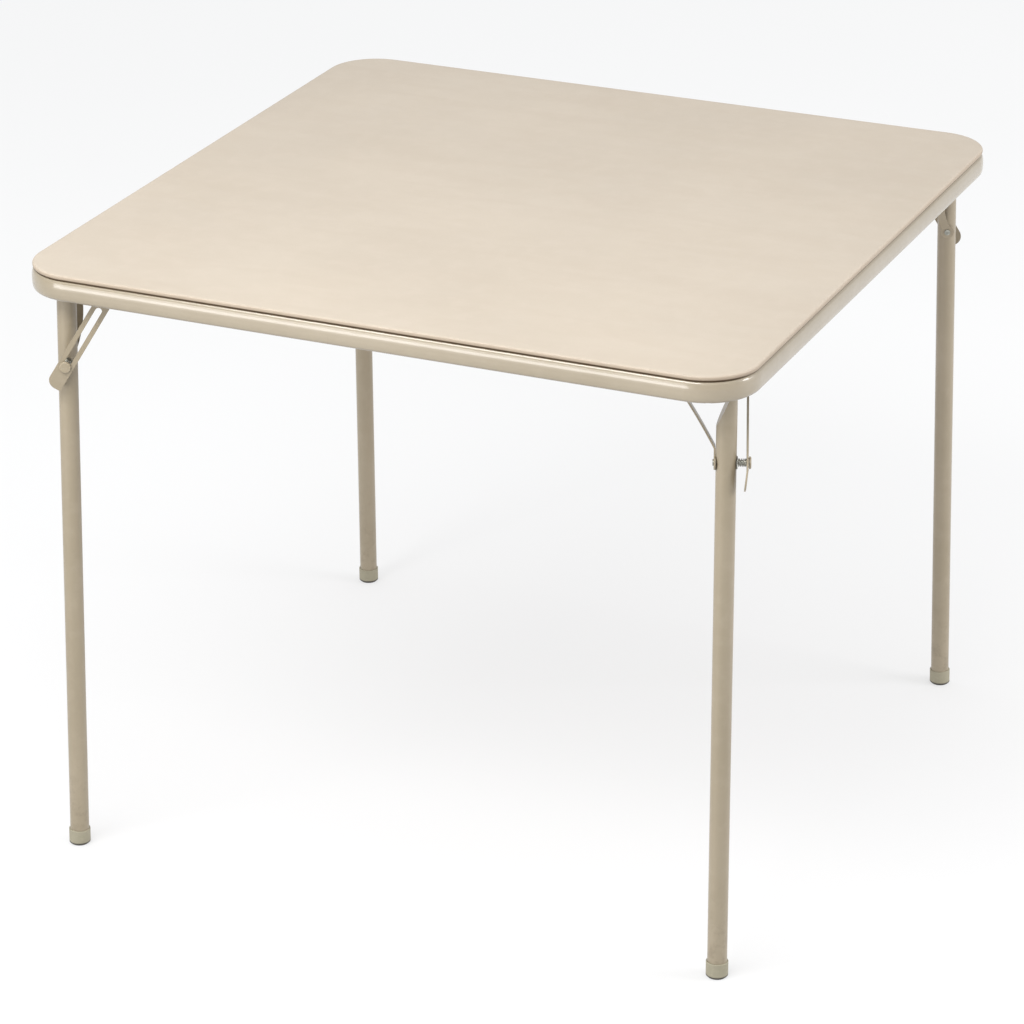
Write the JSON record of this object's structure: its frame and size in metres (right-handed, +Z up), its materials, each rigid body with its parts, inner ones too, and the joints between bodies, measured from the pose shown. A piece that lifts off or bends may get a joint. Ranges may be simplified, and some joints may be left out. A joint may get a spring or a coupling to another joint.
{
  "type": "folding card table",
  "caption": "Square folding card table with a padded vinyl top in a rounded steel tube frame and tubular legs that fold flat underneath, each held open by a slotted lock brace.",
  "frame": {"origin": "on the floor, under the middle of the top, centre of the bottom of the overall box", "axes": "+Z up; X and Y square to the frame's sides; leg 1 stands at -X -Y and the others follow anticlockwise seen from above"},
  "size_m": [0.864, 0.864, 0.724],
  "materials": {
    "vinyl": "fine grained satin vinyl",
    "foam": "open foam",
    "hardboard": "smooth tempered hardboard",
    "painted_steel": "satin powder coat",
    "zinc_steel": "zinc plate",
    "cap_plastic": "moulded, matt"
  },
  "bodies": {
    "table_top": {"rim_frame": "painted_steel", "top_cover": "vinyl", "foam_pad": "foam", "top_board": "hardboard", "panel_clips": "painted_steel", "panel_screws": "zinc_steel", "bracket_screws": "zinc_steel", "leg_pivot_rivets": "zinc_steel", "strap_pivot_rivets": "zinc_steel", "corner_bracket_1": "painted_steel", "corner_bracket_2": "painted_steel", "corner_bracket_3": "painted_steel", "corner_bracket_4": "painted_steel"},
    "leg_1": {"leg_tube_1": "painted_steel", "foot_cap_1": "cap_plastic", "stabilizer_strap_1": "painted_steel", "lock_pin_1": "painted_steel", "pin_washer_1": "zinc_steel", "lock_spring_1": "zinc_steel"},
    "pin_swivel_1": {"head_washer_1": "zinc_steel"},
    "brace_pivot_1": {"brace_rivet_1": "painted_steel"},
    "brace_1": {"lock_brace_1": "painted_steel"},
    "leg_2": {"leg_tube_2": "painted_steel", "foot_cap_2": "cap_plastic", "stabilizer_strap_2": "painted_steel", "lock_pin_2": "painted_steel", "pin_washer_2": "zinc_steel", "lock_spring_2": "zinc_steel"},
    "pin_swivel_2": {"head_washer_2": "zinc_steel"},
    "brace_pivot_2": {"brace_rivet_2": "painted_steel"},
    "brace_2": {"lock_brace_2": "painted_steel"},
    "leg_3": {"leg_tube_3": "painted_steel", "foot_cap_3": "cap_plastic", "stabilizer_strap_3": "painted_steel", "lock_pin_3": "painted_steel", "pin_washer_3": "zinc_steel", "lock_spring_3": "zinc_steel"},
    "pin_swivel_3": {"head_washer_3": "zinc_steel"},
    "brace_pivot_3": {"brace_rivet_3": "painted_steel"},
    "brace_3": {"lock_brace_3": "painted_steel"},
    "leg_4": {"leg_tube_4": "painted_steel", "foot_cap_4": "cap_plastic", "stabilizer_strap_4": "painted_steel", "lock_pin_4": "painted_steel", "pin_washer_4": "zinc_steel", "lock_spring_4": "zinc_steel"},
    "pin_swivel_4": {"head_washer_4": "zinc_steel"},
    "brace_pivot_4": {"brace_rivet_4": "painted_steel"},
    "brace_4": {"lock_brace_4": "painted_steel"}
  },
  "joints": [
    {"name": "leg_1_fold", "type": "hinge", "parent": "table_top", "child": "leg_1", "pos_m": [-0.3813, -0.3991, 0.6955], "axis": [0.3746, -0.9272, 0], "range_deg": [0, 91.38]},
    {"name": "brace_1_swing", "type": "hinge", "parent": "leg_1", "child": "pin_swivel_1", "pos_m": [-0.38317, -0.39986, 0.61152], "axis": [0.3746, -0.9272, 0], "range_deg": [-0.5, 35.29]},
    {"name": "slot_1_slide", "type": "slide", "parent": "pin_swivel_1", "child": "brace_pivot_1", "axis": [-0.4775, -0.1929, -0.8572], "range_m": [-0.0005, 0.0567]},
    {"name": "lock_1_press", "type": "hinge", "parent": "brace_pivot_1", "child": "brace_1", "pos_m": [-0.32985, -0.40258, 0.6921], "axis": [0.7948, 0.3211, -0.515], "range_deg": [0, 2.2], "stiffness_Nm_per_rad": 6, "springref_deg": -2.86, "deforming": ["lock_spring_1"]},
    {"name": "leg_2_fold", "type": "hinge", "parent": "table_top", "child": "leg_2", "pos_m": [0.3991, -0.3813, 0.6955], "axis": [0.9272, 0.3746, 0], "range_deg": [0, 91.38]},
    {"name": "brace_2_swing", "type": "hinge", "parent": "leg_2", "child": "pin_swivel_2", "pos_m": [0.39986, -0.38317, 0.61152], "axis": [0.9272, 0.3746, 0], "range_deg": [-0.5, 35.29]},
    {"name": "slot_2_slide", "type": "slide", "parent": "pin_swivel_2", "child": "brace_pivot_2", "axis": [0.1929, -0.4775, -0.8572], "range_m": [-0.0005, 0.0567]},
    {"name": "lock_2_press", "type": "hinge", "parent": "brace_pivot_2", "child": "brace_2", "pos_m": [0.40258, -0.32985, 0.6921], "axis": [-0.3211, 0.7948, -0.515], "range_deg": [0, 2.2], "stiffness_Nm_per_rad": 6, "springref_deg": -2.86, "deforming": ["lock_spring_2"]},
    {"name": "leg_3_fold", "type": "hinge", "parent": "table_top", "child": "leg_3", "pos_m": [0.3813, 0.3991, 0.6955], "axis": [-0.3746, 0.9272, 0], "range_deg": [0, 91.38]},
    {"name": "brace_3_swing", "type": "hinge", "parent": "leg_3", "child": "pin_swivel_3", "pos_m": [0.38317, 0.39986, 0.61152], "axis": [-0.3746, 0.9272, 0], "range_deg": [-0.5, 35.29]},
    {"name": "slot_3_slide", "type": "slide", "parent": "pin_swivel_3", "child": "brace_pivot_3", "axis": [0.4775, 0.1929, -0.8572], "range_m": [-0.0005, 0.0567]},
    {"name": "lock_3_press", "type": "hinge", "parent": "brace_pivot_3", "child": "brace_3", "pos_m": [0.32985, 0.40258, 0.6921], "axis": [-0.7948, -0.3211, -0.515], "range_deg": [0, 2.2], "stiffness_Nm_per_rad": 6, "springref_deg": -2.86, "deforming": ["lock_spring_3"]},
    {"name": "leg_4_fold", "type": "hinge", "parent": "table_top", "child": "leg_4", "pos_m": [-0.3991, 0.3813, 0.6955], "axis": [-0.9272, -0.3746, 0], "range_deg": [0, 91.38]},
    {"name": "brace_4_swing", "type": "hinge", "parent": "leg_4", "child": "pin_swivel_4", "pos_m": [-0.39986, 0.38317, 0.61152], "axis": [-0.9272, -0.3746, 0], "range_deg": [-0.5, 35.29]},
    {"name": "slot_4_slide", "type": "slide", "parent": "pin_swivel_4", "child": "brace_pivot_4", "axis": [-0.1929, 0.4775, -0.8572], "range_m": [-0.0005, 0.0567]},
    {"name": "lock_4_press", "type": "hinge", "parent": "brace_pivot_4", "child": "brace_4", "pos_m": [-0.40258, 0.32985, 0.6921], "axis": [0.3211, -0.7948, -0.515], "range_deg": [0, 2.2], "stiffness_Nm_per_rad": 6, "springref_deg": -2.86, "deforming": ["lock_spring_4"]}
  ],
  "couplings": [
    {"joint": "brace_1_swing", "follows": "leg_1_fold", "ratio": 0.38079},
    {"joint": "slot_1_slide", "follows": "leg_1_fold", "m_per_rad": 0.035267},
    {"joint": "brace_2_swing", "follows": "leg_2_fold", "ratio": 0.38079},
    {"joint": "slot_2_slide", "follows": "leg_2_fold", "m_per_rad": 0.035267},
    {"joint": "brace_3_swing", "follows": "leg_3_fold", "ratio": 0.38079},
    {"joint": "slot_3_slide", "follows": "leg_3_fold", "m_per_rad": 0.035267},
    {"joint": "brace_4_swing", "follows": "leg_4_fold", "ratio": 0.38079},
    {"joint": "slot_4_slide", "follows": "leg_4_fold", "m_per_rad": 0.035267}
  ]
}
